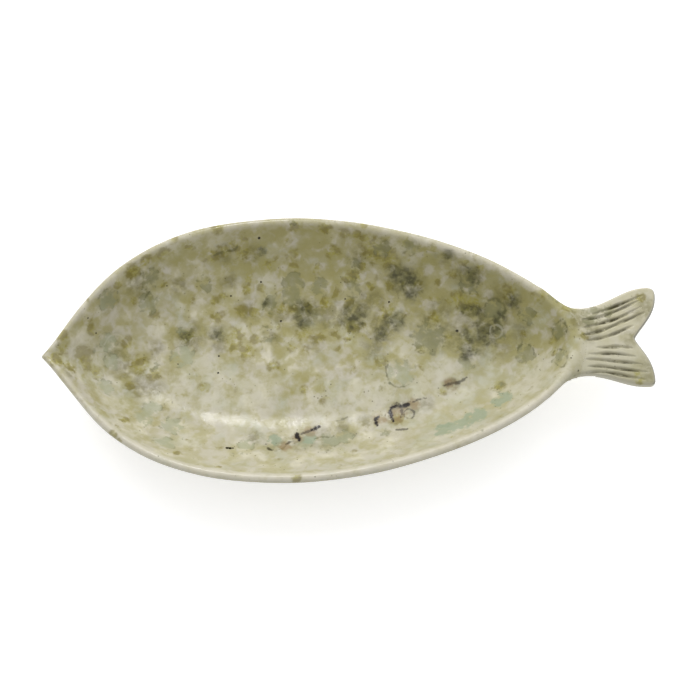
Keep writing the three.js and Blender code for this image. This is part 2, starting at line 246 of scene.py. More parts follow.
# Lines in the glaze: half the width and the points that they pass, in the same frame
LINES = {
    "crack": (
        (2.1, ((297, 433), (298, 437), (300, 441))),
        (2, ((312, 430), (316, 428), (320, 426))),
        (1.7, ((379, 416), (376, 419), (376, 423), (378, 427))),
        (2.5, ((391, 408), (395, 406), (401, 405), (409, 405))),
        (1.6, ((391, 408), (390, 413), (392, 418), (394, 422))),
    ),
    "thin": (
        (1.3, ((286, 444), (290, 442), (294, 441))),
        (1.3, ((299, 435), (306, 432), (312, 430))),
        (1, ((379, 416), (384, 415), (389, 417))),
        (1.3, ((401, 406), (402, 412), (401, 418))),
        (0.9, ((404, 412), (408, 409), (414, 412), (412, 418), (405, 417), (404, 412))),
        (1, ((413, 402), (420, 399), (427, 398))),
        (1.2, ((396, 430), (408, 429))),
        (1.4, ((443, 386), (450, 384), (457, 383), (462, 381), (467, 377))),
        (1.2, ((266, 444), (269, 449), (275, 451))),
    ),
    "ring": (
        (1, ((266, 444), (269, 449), (275, 451), (283, 448), (288, 443))),
        (0.9, ((314, 439), (322, 437), (331, 437), (336, 434))),
        (1, ((335, 421), (341, 420), (348, 417))),
        (0.8, ((388, 364), (386, 371), (389, 381), (394, 386), (402, 387), (410, 384))),
        (1.1, ((386, 366), (386, 371))),
        (0.8, ((143, 302), (147, 295), (150, 291))),
        (1.4, ((214, 255), (224, 252), (233, 250), (238, 246))),
        (1.2, ((484, 308), (488, 301), (496, 299), (503, 304), (505, 311), (500, 318), (491, 320))),
        (1.1, ((488, 333), (491, 328), (498, 327), (502, 332))),
        (1.1, ((553, 330), (555, 324), (562, 322), (567, 328), (565, 335))),
        (1.1, ((553, 352), (559, 349), (566, 352), (567, 360), (562, 367), (555, 363))),
        (0.9, ((517, 353), (519, 347), (526, 344), (533, 348), (534, 355))),
    ),
    "vein": (
        (0.9, ((490, 333), (491, 327), (497, 325), (502, 329), (501, 335), (495, 338), (490, 333))),
        (0.8, ((573, 318), (578, 314), (583, 317), (588, 313))),
        (0.8, ((570, 312), (576, 318), (579, 325))),
        (0.9, ((104, 345), (110, 336), (119, 335), (126, 341), (131, 349))),
    ),
}

# Unevenness of the lines: a seed, the sideways shift and the swelling, as shares of their width
LINE_SEED = 4
LINE_JITTER = 0.15
LINE_SWELL = (0.6, 1.2)

# A line's width follows a half wave from one of these shares to the other
LINE_ENDS = (0.2, 0.8)

# Mesh steps
NOSE_STEPS = 120
TAIL_STEPS = 130
WALL_STEPS = 40
BEAD_STEPS = 24
FIN_STEPS = 14
RAY_STEPS = 60
FOOT_EDGE_STEPS = 7
SEARCH_STEPS = 2001
TANGENT_STEP = 0.001
TAIL_OUTLINE_STEP = 3
VOXEL = 1.4 * MM
MARK_REACHES = (3 * MM, 1.5 * MM)

# Distances that count as touching and as nothing
TOUCHING = 0.001 * MM
NEARLY_ZERO = 1e-9


def srgb(red, green, blue):
    """Linear colour of 8-bit display values."""
    channels = [c / 255 for c in (red, green, blue)]
    return [c / 12.92 if c <= 0.04045 else ((c + 0.055) / 1.055) ** 2.4 for c in channels] + [1]


# Glaze and clay colours, and the tints of painted light and shade
GROUND = srgb(190, 185, 169)
CREAM = srgb(209, 204, 182)
# Pale glaze, also the tint of the painted light
PALE = srgb(204, 200, 181)
FIN_PALE = srgb(213, 208, 189)
KHAKI = srgb(154, 147, 88)
CELADON = srgb(158, 162, 133)
# Tint of the painted shade, which mixes with darker glaze
SHADE = srgb(98, 92, 40)
OLIVE_SOFT = srgb(154, 147, 50)
OLIVE = srgb(116, 105, 18)
GREEN = srgb(126, 126, 88)
MOSS_SOFT = srgb(80, 80, 36)
MOSS = srgb(46, 44, 16)
PALE_BLUE = srgb(146, 160, 135)
SPECKLE = srgb(78, 72, 42)
IRON = srgb(34, 29, 4)
CRACK = srgb(24, 11, 0)
STAIN = srgb(146, 122, 84)
RIM_CREAM = srgb(210, 205, 189)
# Tint of the painted shade under the rim's outer side
RIM_SHADE = srgb(136, 133, 96)
GROOVE = srgb(60, 54, 14)
# Tint of the painted shade on the fin's edges
EDGE_SHADE = srgb(104, 104, 96)
CLAY = srgb(178, 148, 118)
CLAY_TOASTED = srgb(158, 122, 92)
CLAY_GRIT = srgb(122, 92, 68)

# Stretches of the dish over which the colour and gloss change, each from where it starts to where it is full
TAIL_HALF = (0, 70 * MM)
PALE_RIM = (10 * MM, 70 * MM)
NEAR_SIDE = (-15 * MM, -60 * MM)

# The near side is wider at the tail; the far side slants, and starts and is full elsewhere at nose and tail
NEAR_SHIFT = -28 * MM
FAR_SLANT = 0.24
FAR_START = (-40 * MM, -12 * MM)
FAR_FULL = (60 * MM, 46 * MM)

# Marks that are painted as they are: tint, opacity, where the mask starts and is full, and how ragged it is
LAYERS = {
    # The light and shade marks are painted light and painted shade, partly paler and darker glaze
    "light": (PALE, 0.55, 0.1, 0.9, 4),
    "shade": (SHADE, 0.55, 0.05, 1.1, 4),
    "pale": (PALE_BLUE, 0.7, 0.3, 0.6, 4),
    "ring": (MOSS_SOFT, 0.5, 0.05, 0.95, 6),
    "vein": (PALE, 0.3, 0.05, 0.95, 6),
    "stain": (STAIN, 0.6, 0.1, 0.9, 5),
    "thin": (CRACK, 0.65, 0.05, 0.95, 6),
    "crack": (CRACK, 1.0, 0.1, 0.85, 4),
}

# Shares of the coarse and fine noise in a ragged edge, and how much a wash grows where there is more of it
COARSE_FRAY = 0.75
FINE_FRAY = 0.25
WASH_GROWTH = 0.12

# Relief of the glaze: its clouds, its ragged patches, its grain and its iron pits
CLOUD_RELIEF = 0.5
RAGGED_RELIEF = 0.18
GRAIN_RELIEF = 0.02
PIT_RELIEF = 0.15

# Values that follow from the sizes above
FLOOR_TOP = FOOT_HEIGHT + FLOOR_THICKNESS
NOSE_X = RIM_RADIUS - NOSE_REACH
END_X = TAIL_REACH - RIM_RADIUS
FLOOR_NOSE_X = FLOOR_NOSE_SETBACK - NOSE_REACH
FLOOR_END_X = TAIL_REACH - FLOOR_TAIL_SETBACK
SHOULDER_X = TAIL_REACH - SHOULDER_SETBACK
NECK_X = TAIL_REACH + NECK_REACH
FORK_X = TAIL_REACH + FORK_REACH
LOBE_TIP = {side: TAIL_REACH + reach for side, reach in LOBE_REACH.items()}
FIN_TIP_X = max(LOBE_TIP.values())
FIN_ROOT_TOP = RIM_HEIGHT - TAIL_DIP - FIN_DROP
TAIL_BEAD_HEIGHT = RIM_HEIGHT - TAIL_DIP - RIM_RADIUS
TO_MIDDLE = (NOSE_REACH - FIN_TIP_X) / 2

# Camera at the photograph's viewing angle, and the frame's size in pixels
CAMERA_AIM = Vector((0.0001, 0.0037, 0.025))
CAMERA_ELEVATION = math.radians(70)
CAMERA_AZIMUTH = math.radians(-1.24)
CAMERA_DISTANCE = 1.209
CAMERA_LENS = 100
CAMERA_SENSOR = 36
FRAME_SIZE = 700


def bezier(points, shares):
    """Points of a Bezier curve at the given shares of its parameter."""
    t = np.asarray(shares)[..., None]
    layer = [np.asarray(p, float) for p in points]
    while len(layer) > 1:
        layer = [(1 - t) * a + t * b for a, b in zip(layer, layer[1:])]
    return layer[0]


def unit(vectors):
    return vectors / np.maximum(np.linalg.norm(vectors, axis=-1, keepdims=True), NEARLY_ZERO)


def lerp(a, b, share):
    return a + (b - a) * share


def smoothstep(low, high, values):
    share = np.clip((values - low) / (high - low), 0, 1)
    return share * share * (3 - 2 * share)


def flank(nose, nose_handle, half_width, bellies, end_handle, end):
    """One flank of a fish outline, as two cubic curves that meet at the widest station."""
    widest = (0, half_width)
    return (
        (nose, nose_handle, (-bellies[0], half_width), widest),
        (widest, (bellies[1], half_width), end_handle, end),
    )


def rim_flank(side):
    angle = NOSE_ANGLES[side]
    handle = (NOSE_X + NOSE_FLANK * math.cos(angle), NOSE_OFFSET + side * NOSE_FLANK * math.sin(angle))
    return flank(
        (NOSE_X, NOSE_OFFSET),
        handle,
        side * (BODY_WIDTH / 2 - RIM_RADIUS),
        (NOSE_BELLY, TAIL_BELLY),
        (END_X, side * TAIL_BLUNTNESS),
        (END_X, 0),
    )


def floor_flank(side):
    quarter_ellipse = 0.5523
    half_width = side * FLOOR_WIDTH / 2
    return flank(
        (FLOOR_NOSE_X, 0),
        (FLOOR_NOSE_X, quarter_ellipse * half_width),
        half_width,
        (-quarter_ellipse * FLOOR_NOSE_X, quarter_ellipse * FLOOR_END_X),
        (FLOOR_END_X, quarter_ellipse * half_width),
        (FLOOR_END_X, 0),
    )


def middle_flank(side):
    """Half-way up the wall, with a round nose."""
    nose_curve, tail_curve = (
        [np.add(a, b) / 2 for a, b in zip(floor_curve, rim_curve)]
        for floor_curve, rim_curve in zip(floor_flank(side), rim_flank(side))
    )
    nose_curve[1] = np.array((nose_curve[0][0], side * NOSE_ROUNDING))
    return nose_curve, tail_curve


def ring(flank_of):
    """Plan points once round: nose to tail end on the far side, and back on the near side."""
    shares = np.linspace(0, 1, NOSE_STEPS, endpoint=False), np.linspace(0, 1, TAIL_STEPS + 1)
    far, near = (
        np.vstack([bezier(curve, t) for curve, t in zip(flank_of(side), shares)]) for side in (1, -1)
    )
    return np.vstack([far, near[-2:0:-1]])


FLOOR_RING = ring(floor_flank)
MIDDLE_RING = ring(middle_flank)
RIM_RING = ring(rim_flank)
RUN = np.linalg.norm(RIM_RING - FLOOR_RING, axis=1)


def blend(nose, widest, tail):
    """A value at each station that leaves its size at the widest one for others at nose and tail."""
    x = RIM_RING[:, 0]
    return np.where(
        x < 0, widest + (nose - widest) * (x / NOSE_X) ** 2, widest + (tail - widest) * (x / END_X) ** 2
    )


LEAN = blend(NOSE_LEAN, WALL_LEAN, TAIL_LEAN)
CREST = blend(RIM_HEIGHT - NOSE_DIP, RIM_HEIGHT, RIM_HEIGHT - TAIL_DIP)


def plan_points(out):
    """Plan points at distances out from the floor's edge, one row for each station."""
    floor, middle, rim = (points[:, None, :] for points in (FLOOR_RING, MIDDLE_RING, RIM_RING))
    run = RUN[:, None]
    share = np.clip(out / run, 0, 1)[..., None]
    wall = (1 - share) ** 2 * floor + 2 * share * (1 - share) * middle + share**2 * rim
    inside = np.minimum(out, 0)[..., None] * unit(middle - floor)
    outside = np.maximum(out - run, 0)[..., None] * unit(rim - middle)
    return wall + inside + outside


def wall_curve(foot_height, top, lean):
    """Wall sections from the floor's edge to the bead, one row for each station."""
    foot = np.stack([np.zeros_like(RUN), np.full_like(RUN, foot_height)], axis=-1)
    floor_run = foot + FLOOR_HANDLE * (top - foot) * (1, 0)
    below_rim = top - lean * RIM_HANDLE * (top - foot)[:, 1:]
    controls = [points[:, None, :] for points in (foot, floor_run, below_rim, top)]
    return bezier(controls, np.linspace(0, 1, WALL_STEPS + 1))


def bowl_rows():
    """Points of the bowl's skin, one row for each station, from the floor over the rim to the base."""
    lean = np.stack([np.cos(LEAN), np.sin(LEAN)], axis=-1)
    across = np.stack([-lean[:, 1], lean[:, 0]], axis=-1) * RIM_RADIUS
    bead = np.stack([RUN, CREST - RIM_RADIUS], axis=-1)
    inner = wall_curve(FLOOR_TOP, bead + across, lean)
    outer = wall_curve(FOOT_HEIGHT, bead - across, lean)
    turns = LEAN[:, None] + np.linspace(math.pi / 2, -math.pi / 2, BEAD_STEPS + 1)[1:-1]
    arc = bead[:, None, :] + RIM_RADIUS * np.stack([np.cos(turns), np.sin(turns)], axis=-1)
    section = np.concatenate([inner, arc, outer[:, ::-1]], axis=1)
    rows = np.concatenate([plan_points(section[..., 0]), section[..., 1:]], axis=-1)
    spine = np.zeros((len(rows), 2, 3))
    spine[:, :, 0] = SPINE_SHARE * FLOOR_RING[:, None, 0]
    spine[:, :, 2] = FLOOR_TOP, FOOT_HEIGHT
    return np.concatenate([spine[:, :1], rows, spine[:, 1:]], axis=1)


def skin(rows, closed):
    """Vertices and outward quads of rows that follow each other round a ring."""
    count, length = rows.shape[:2]
    faces = []
    for i in range(count):
        here = i * length
        following = (i + 1) % count * length
        for j in range(length if closed else length - 1):
            k = (j + 1) % length
            faces.append((here + j, following + j, following + k, here + k))
    return rows.reshape(-1, 3), faces


def mesh_from(name, points, faces):
    mesh = bpy.data.meshes.new(name)
    mesh.from_pydata(points.tolist(), [], faces)
    mesh.update()
    return mesh


@contextmanager
def edited(mesh):
    """A mesh opened for editing, and written back at the end."""
    bm = bmesh.new()
    bm.from_mesh(mesh)
    yield bm
    bm.to_mesh(mesh)
    bm.free()


def placed(name, data):
    """A new object in the scene."""
    made = bpy.data.objects.new(name, data)
    bpy.context.collection.objects.link(made)
    return made


# Tail fin
def fin_top(x):
    return FIN_ROOT_TOP + FIN_RISE * (x - TAIL_REACH) / (FIN_TIP_X - TAIL_REACH)


def fin_thickness(x):
    """Thickness of the slab, which dies away along its shoulders beside the rim."""
    share = (x - TAIL_REACH) / (FIN_TIP_X - TAIL_REACH)
    whole = smoothstep(SHOULDER_X, TAIL_REACH, x)
    return lerp(FIN_ROOT_THICKNESS, FIN_TIP_THICKNESS, share) * lerp(SHOULDER_THINNING, 1, whole)


def shoulder(side):
    """Share of the rim's tail curve where the fin's root starts on a flank."""
    tail_curve = rim_flank(side)[1]
    shares = np.linspace(0, 1, SEARCH_STEPS)
    return shares[np.searchsorted(bezier(tail_curve, shares)[:, 0], SHOULDER_X)]


def lobe_edge(side):
    """Outer edge of a lobe from the neck to its corner."""
    tip, span, corner = LOBE_TIP[side], LOBE_SPAN[side], LOBE_CORNER[side]
    third = (tip - NECK_X) / 3
    half_neck = side * NECK_WIDTH / 2
    return (
        (NECK_X, half_neck),
        (NECK_X + third, half_neck),
        (tip - corner - third, side * span),
        (tip - corner, side * span),
    )


def fin_flank(side):
    """Points of one side of the fin from its shoulder, round the lobe's corner, in to the fork."""
    tip, span, corner = LOBE_TIP[side], LOBE_SPAN[side], LOBE_CORNER[side]
    tail_curve = rim_flank(side)[1]
    share = shoulder(side)
    start, after = bezier(tail_curve, np.array([share, share + TANGENT_STEP]))
    edge = lobe_edge(side)
    third = (NECK_X - start[0]) / 3
    corner_end = (tip, side * (span - corner))
    fork_handle = (lerp(FORK_X, tip, FORK_HANDLE[0]), side * span * FORK_HANDLE[1])
    curves = (
        (start, start + unit(after - start) * third / 2, np.subtract(edge[0], (third, 0)), edge[0]),
        edge,
        (edge[3], (tip, side * span), corner_end),
        (corner_end, (tip, side * span * CORNER_HANDLE), fork_handle, (FORK_X, 0)),
    )
    shares = np.linspace(0, 1, FIN_STEPS, endpoint=False)
    points = np.vstack([bezier(curve, shares) for curve in curves])
    return points + (0, FIN_OFFSET)


def fin_outline(root):
    """Closed outline of the fin: far side to the fork, near side back, and across the root."""
    fork = np.array([(FORK_X, FIN_OFFSET)])
    return np.vstack([fin_flank(1), fork, fin_flank(-1)[::-1], root])


def outline_field(points, outline):
    """Signed distance in plan to a closed outline, negative inside, and the direction in which it grows."""
    nearest = np.full(len(points), np.inf)
    away = np.zeros_like(points)
    inside = np.zeros(len(points), bool)
    for a, b in zip(outline, np.roll(outline, -1, axis=0)):
        edge = b - a
        offset = points - a
        share = np.clip(offset @ edge / (edge @ edge), 0, 1)
        offset -= share[:, None] * edge
        gap = np.hypot(offset[:, 0], offset[:, 1])
        closer = gap < nearest
        nearest[closer] = gap[closer]
        away[closer] = offset[closer]
        if a[1] != b[1]:
            crosses = (a[1] > points[:, 1]) != (b[1] > points[:, 1])
            inside ^= crosses & (points[:, 0] < a[0] + (points[:, 1] - a[1]) / edge[1] * edge[0])
    sign = np.where(inside, -1.0, 1.0)
    return nearest * sign, away * (sign / np.maximum(nearest, NEARLY_ZERO))[:, None]


# The fin reaches back under the rim here, and is cut by the middle of the bowl's wall
DEEP_ROOT = np.array([(SHOULDER_X - ROOT_TRIM, side * NECK_WIDTH / 2) for side in (-1, 1)])
FIN_FIELD_OUTLINE = fin_outline(DEEP_ROOT)
TAIL_OUTLINE = RIM_RING[RIM_RING[:, 0] > TAIL_REACH / 2][::TAIL_OUTLINE_STEP]


def past_wall(points):
    """Distance out from the middle of the bowl's leaning wall, near its tail end, and its direction."""
    distance, outward = outline_field(points[:, :2], TAIL_OUTLINE)
    distance += (TAIL_BEAD_HEIGHT - points[:, 2]) / math.tan(TAIL_LEAN)
    down = np.full((len(points), 1), -1 / math.tan(TAIL_LEAN))
    return distance * math.sin(TAIL_LEAN), np.hstack([outward, down]) * math.sin(TAIL_LEAN)


def fin_field(points):
    """Signed distance to the round-edged fin slab, its direction of growth, and how far past the wall."""
    x = points[:, 0]
    half = fin_thickness(x) / 2
    height = points[:, 2] - fin_top(x) + half
    sides, outward = outline_field(points[:, :2], FIN_FIELD_OUTLINE)
    sides += FIN_EDGE_ROUND
    faces = np.abs(height) - half + FIN_EDGE_ROUND
    inner = np.minimum(np.maximum(sides, faces), 0)
    distance = inner + np.hypot(np.maximum(sides, 0), np.maximum(faces, 0)) - FIN_EDGE_ROUND
    on_edge = (sides > 0) & (faces > 0)
    side_share = np.where(on_edge, sides, sides > faces)
    face_share = np.where(on_edge, faces, sides <= faces)
    direction = np.column_stack([outward * side_share[:, None], face_share * np.where(height < 0, -1, 1)])
    wall, from_wall = past_wall(points)
    in_wall = -wall > distance
    distance[in_wall] = -wall[in_wall]
    direction[in_wall] = -from_wall[in_wall]
    return distance, unit(direction), wall


def rough_fin():
    """Prism of the fin whose root follows the middle of the bowl's wall."""
    shares = [np.linspace(shoulder(side), 1, FIN_STEPS) for side in (-1, 1)]
    near, far = (bezier(rim_flank(side)[1], t) for side, t in zip((-1, 1), shares))
    root = np.vstack([near, far[-2::-1]])[1:-1]
    outline = fin_outline(root)
    x = outline[:, 0]
    top = np.column_stack([outline, fin_top(x)])
    bottom = np.column_stack([outline, fin_top(x) - fin_thickness(x)])
    drop = TAIL_BEAD_HEIGHT - bottom[-len(root):, 2]
    towards_well = unit(np.array((FLOOR_END_X, 0)) - root)
    bottom[-len(root):, :2] += towards_well * (drop / math.tan(TAIL_LEAN))[:, None]
    count = len(outline)
    walls = [(i, i + count, (i + 1) % count + count, (i + 1) % count) for i in range(count)]
    caps = [tuple(range(count)), tuple(range(2 * count - 1, count - 1, -1))]
    return np.vstack([top, bottom]), caps + walls


# Glazed pieces: the bowl and the fin with a soft luted joint
BOWL_ROWS = bowl_rows()
SECTION_SPANS = BOWL_ROWS.shape[1] - 1
BOWL_POINTS, BOWL_FACES = skin(BOWL_ROWS, closed=False)
BOWL_TREE = BVHTree.FromPolygons(BOWL_POINTS.tolist(), BOWL_FACES)


def bowl_field(points):
    """Signed distance to the bowl's skin, the direction in which it grows, and the place in the section."""
    hits = [BOWL_TREE.find_nearest(point)[:3] for point in points.tolist()]
    found = np.array([(*place, *normal, face) for place, normal, face in hits])
    nearest, outward = found[:, :3], found[:, 3:6]
    span = found[:, 6] % SECTION_SPANS
    offset = points - nearest
    distance = np.linalg.norm(offset, axis=1)
    side = np.where(np.einsum("ij,ij->i", offset, outward) < 0, -1.0, 1.0)
    off_skin = distance > TOUCHING
    outward[off_skin] = (unit(offset) * side[:, None])[off_skin]
    return distance * side, outward, span


def settle(points, rounds):
    """Points moved onto the soft union of the bowl and the fin, with their places in the bowl's section."""
    for _ in range(rounds):
        distance, outward, span = bowl_field(points)
        near_fin = points[:, 0] > SHOULDER_X - LUTING_FILLET
        bowl = distance[near_fin]
        fin, from_fin, wall = fin_field(points[near_fin])
        overlap = np.maximum(LUTING_FILLET - np.abs(bowl - fin), 0) / LUTING_FILLET
        overlap *= smoothstep(-RIM_RADIUS, 0, wall)
        distance[near_fin] = np.minimum(bowl, fin) - overlap**2 * LUTING_FILLET / 4
        fin_share = np.where(fin < bowl, 1 - overlap / 2, overlap / 2)[:, None]
        outward[near_fin] = lerp(outward[near_fin], from_fin, fin_share)
        points = points - distance[:, None] * unit(outward)
    return points, span


def neighbour_mean(points, edges):
    """Middle of each point's neighbours."""
    here = np.concatenate([edges[:, 0], edges[:, 1]])
    there = np.concatenate([edges[:, 1], edges[:, 0]])
    count = np.maximum(np.bincount(here, minlength=len(points)), 1)
    sums = [np.bincount(here, points[there, axis], len(points)) for axis in range(3)]
    return np.stack(sums, axis=1) / count[:, None]


def seen_at(tree, x, y, shift=0.0):
    """Place on the dish that shows at a pixel of the frame; the shift is the dish's own, along the fish."""
    camera = bpy.context.scene.camera
    pixel = CAMERA_SENSOR / FRAME_SIZE
    ray = Vector(((x - FRAME_SIZE / 2) * pixel, (FRAME_SIZE / 2 - y) * pixel, -CAMERA_LENS))
    ray.rotate(camera.rotation_euler)
    return tree.ray_cast(camera.location + Vector((shift, 0, 0)), ray.normalized())[0]


def dots_along(half_width, stroke, hand):
    """Small uneven blooms that follow each other along a line, which thins out at its ends."""
    stroke = np.array(stroke, float)
    through = np.vstack([2 * stroke[0] - stroke[1], stroke, 2 * stroke[-1] - stroke[-2]])
    handle_part = 6
    places = []
    for before, start, end, after in zip(through, through[1:], through[2:], through[3:]):
        curve = (start, start + (end - before) / handle_part, end - (after - start) / handle_part, end)
        count = math.ceil(2 * math.dist(start, end) / half_width)
        places += bezier(curve, np.linspace(0, 1, count, endpoint=False)).tolist()
    places = np.array(places) + hand.normal(0, LINE_JITTER * half_width, (len(places), 2))
    widths = half_width * np.sin(np.linspace(*LINE_ENDS, len(places)) * math.pi)
    widths *= hand.uniform(*LINE_SWELL, len(places))
    return np.column_stack([places, widths]).tolist()


line_hand = np.random.default_rng(LINE_SEED)
for kind, lines in LINES.items():
    BLOOMS[kind] = [dot for line in lines for dot in dots_along(*line, line_hand)]
MARKS = [mark for kind in ("iron", *LINES) for mark in BLOOMS[kind]]


def refine(bm, chosen):
    """Edges cut in half where both ends are chosen."""
    edges = [edge for edge in bm.edges if all(chosen(vert.co) for vert in edge.verts)]
    bmesh.ops.subdivide_edges(bm, edges=edges, cuts=1, use_grid_fill=True)


def voxel_union():
    """Voxel mesh of the bowl and the fin together."""
    fin_points, fin_faces = rough_fin()
    shift = len(BOWL_POINTS)
    faces = BOWL_FACES + [tuple(i + shift for i in face) for face in fin_faces]
    mesh = mesh_from("rough", np.vstack([BOWL_POINTS, fin_points]), faces)
    with edited(mesh) as bm:
        bmesh.ops.remove_doubles(bm, verts=bm.verts, dist=TOUCHING)
    rough = placed("rough", mesh)
    remesh = rough.modifiers.new("union", "REMESH")
    remesh.mode = "VOXEL"
    remesh.voxel_size = VOXEL
    evaluated = rough.evaluated_get(bpy.context.evaluated_depsgraph_get())
    union = bpy.data.meshes.new_from_object(evaluated)
    bpy.data.objects.remove(rough)
    bpy.data.meshes.remove(mesh)
    return union


def rough_body():
    """The voxel mesh, made finer on the fin and round the small marks."""
    union = voxel_union()
    with edited(union) as bm:
        refine(bm, lambda point: point.x > TAIL_REACH)
        refine(bm, lambda point: point.x > TAIL_REACH and point.z > fin_top(point.x) - FIN_EDGE_ROUND)
        tree = BVHTree.FromBMesh(bm)
        marks = KDTree(len(MARKS))
        for i, (x, y, _) in enumerate(MARKS):
            marks.insert(seen_at(tree, x, y, -TO_MIDDLE), i)
        marks.balance()
        for reach in MARK_REACHES:
            refine(bm, lambda point: marks.find(point)[2] < reach)
    return union


def read(collection, name, width, kind=float):
    """A property of every item of a mesh collection, as an array."""
    flat = np.empty(width * len(collection), kind)
    collection.foreach_get(name, flat)
    return flat.reshape(-1, width) if width > 1 else flat


def vertex_normals(mesh, points):
    """Normals of a mesh whose points have moved."""
    mesh.vertices.foreach_set("co", points.ravel())
    mesh.update()
    return read(mesh.vertex_normals, "vector", 3)


def ray_depths(points):
    """Depth of the carved rays under points of the fin's top."""
    depth = np.zeros(len(points))
    shares = np.linspace(0, 1, RAY_STEPS)
    hand = np.random.default_rng(RAY_SEED)
    for ray in FIN_RAYS:
        path = bezier(np.array(ray) * MM + (TAIL_REACH, FIN_OFFSET), shares)
        phases = hand.uniform(0, 2 * math.pi, len(RAY_WAVES))
        sway, dip, swell = (
            np.sin(2 * math.pi * count * shares + phase) for count, phase in zip(RAY_WAVES, phases)
        )
        path[:, 1] += RAY_SWAY * sway
        taper = np.sqrt(np.sin(math.pi * shares)) * (1 - RAY_UNEVEN * (0.5 + 0.5 * dip))
        width = RAY_WIDTH / 2 * lerp(RAY_END_WIDTH, 1, taper) * (1 + RAY_UNEVEN / 2 * swell)
        gaps = np.linalg.norm(points[:, None, :2] - path, axis=2)
        nearest = gaps.argmin(axis=1)
        across = np.clip(gaps.min(axis=1) / width[nearest], 0, 1)
        depth = np.maximum(depth, RAY_DEPTH * taper[nearest] * (1 - across**2) ** 2)
    return depth


def carved_depth(points):
    """Depth of the carving at each point of the body, which only the fin's top has."""
    on_top = points[:, 0] > TAIL_REACH - RIM_RADIUS
    on_top &= points[:, 2] > fin_top(points[:, 0]) - FIN_EDGE_ROUND
    depth = np.zeros(len(points))
    depth[on_top] = ray_depths(points[on_top])
    return depth


def soften(points, edges, weight):
    """Points drawn again and again towards their neighbours, as far as their weight goes."""
    chosen = np.flatnonzero(weight > 0)
    place = np.full(len(points), -1)
    place[chosen] = np.arange(len(chosen))
    inner_edges = place[edges]
    inner_edges = inner_edges[(inner_edges >= 0).all(axis=1)]
    part = points[chosen]
    share = 0.5 * weight[chosen, None]
    for _ in range(SOFT_ROUNDS):
        part = lerp(part, neighbour_mean(part, inner_edges), share)
    points[chosen] = part


def hand_wobble(points):
    """Slow unevenness of a hand-pressed skin, from 0 to 1."""
    total = 0
    for length, direction, phase in WOBBLE_WAVES:
        total += np.sin(2 * math.pi / (length * MM) * (points @ unit(np.array(direction))) + phase)
    return 0.5 + 0.5 * total / len(WOBBLE_WAVES)


def rim_masks(points, span):
    """Masks of the pale rim, of the painted shade under its outer side, and of what was softened by hand."""
    x = points[:, 0]
    bead_middle = WALL_STEPS + 1 + BEAD_STEPS / 2
    from_bead = np.abs(span - bead_middle) - BEAD_STEPS / 2
    pale = smoothstep(RIM_FADE_SPANS, 0, from_bead)
    by_fin = np.flatnonzero(x > SHOULDER_X)
    pale[by_fin] *= smoothstep(0, LUTING_FILLET, fin_field(points[by_fin])[0])
    border = smoothstep(-FIN_BORDER, 0, outline_field(points[by_fin, :2], FIN_FIELD_OUTLINE)[0])
    pale[by_fin] = np.maximum(pale[by_fin], border * (x[by_fin] > TAIL_REACH))
    outer = smoothstep(bead_middle, bead_middle + OUTER_FADE_SPANS, span)
    shade = outer * smoothstep(RIM_SHADE_SPANS, 0, from_bead)
    by_rim = smoothstep(2 * RIM_FADE_SPANS, 0, from_bead)
    nose = (1 - by_rim) * (1 - outer)
    nose *= smoothstep(NOSE_X + NOSE_SOFT_REACH, NOSE_X + NOSE_SOFT_REACH / 2, x)
    crest = smoothstep(SHOULDER_X, TAIL_REACH - RIM_RADIUS, x)
    crest *= by_rim * (x < NECK_X + LUTING_FILLET)
    return pale, shade, np.maximum(nose, CREST_SOFTNESS * crest)


def painted_shade_edge(points, normals):
    """Mask of the painted shade on the fin's tips, which darken where their edge faces along the fish and
    turns down.
    """
    upward = normals[:, 2]
    edge = smoothstep(EDGE_FLAT, EDGE_STEEP, upward) * smoothstep(0, EDGE_STEEP, normals[:, 0])
    return edge * smoothstep(EDGE_WALL, EDGE_STEEP, upward) * (points[:, 0] > NECK_X + TO_MIDDLE)


def split_faces(mesh, points):
    """Corners of each face of a mesh, and which faces are the fin's."""
    firsts = read(mesh.polygons, "loop_start", 1, int)
    corners = read(mesh.loops, "vertex_index", 1, int)
    counts = np.diff(np.append(firsts, len(corners)))
    middles = np.add.reduceat(points[corners], firsts, axis=0) / counts[:, None]
    on_fin = past_wall(middles)[0] > RIM_RADIUS + LUTING_SETBACK
    on_fin &= middles[:, 0] > SHOULDER_X
    return np.split(corners, firsts[1:]), on_fin


def bloom_field(points, tree, blooms):
    """1 in the middle of a bloom, 0.5 at its edge and 0 at twice its radius."""
    field = np.zeros(len(points))
    pixel = CAMERA_DISTANCE * CAMERA_SENSOR / CAMERA_LENS / FRAME_SIZE
    order = points[:, 0].argsort()
    ordered_x = points[order, 0]
    for x, y, radius in blooms:
        middle = np.array(seen_at(tree, x, y))
        reach = 2 * radius * pixel
        first, last = np.searchsorted(ordered_x, (middle[0] - reach, middle[0] + reach))
        strip = order[first:last]
        gap = np.linalg.norm(points[strip] - middle, axis=1)
        field[strip] = np.maximum(field[strip], 1 - gap / reach)
    return field


def glazed_piece(name, node, points, faces, normals, painted):
    """One closed piece of the glazed body, with the joint's open edge capped."""
    used = np.unique(np.concatenate(faces))
    place = np.full(len(points), -1)
    place[used] = np.arange(len(used))
    mesh = mesh_from(name, points[used], [tuple(place[list(face)]) for face in faces])
    for key, values in painted.items():
        attribute = mesh.attributes.new(key, "FLOAT", "POINT")
        attribute.data.foreach_set("value", values[used].astype(np.float32))
    with edited(mesh) as bm:
        bmesh.ops.triangle_fill(bm, use_beauty=True, edges=[e for e in bm.edges if e.is_boundary])
        bmesh.ops.recalc_face_normals(bm, faces=bm.faces)
    mesh.shade_smooth()
    mesh.normals_split_custom_set_from_vertices(normals[used].tolist())
    piece = placed(name, mesh)
    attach(piece, "root")
    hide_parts(node)
    return piece


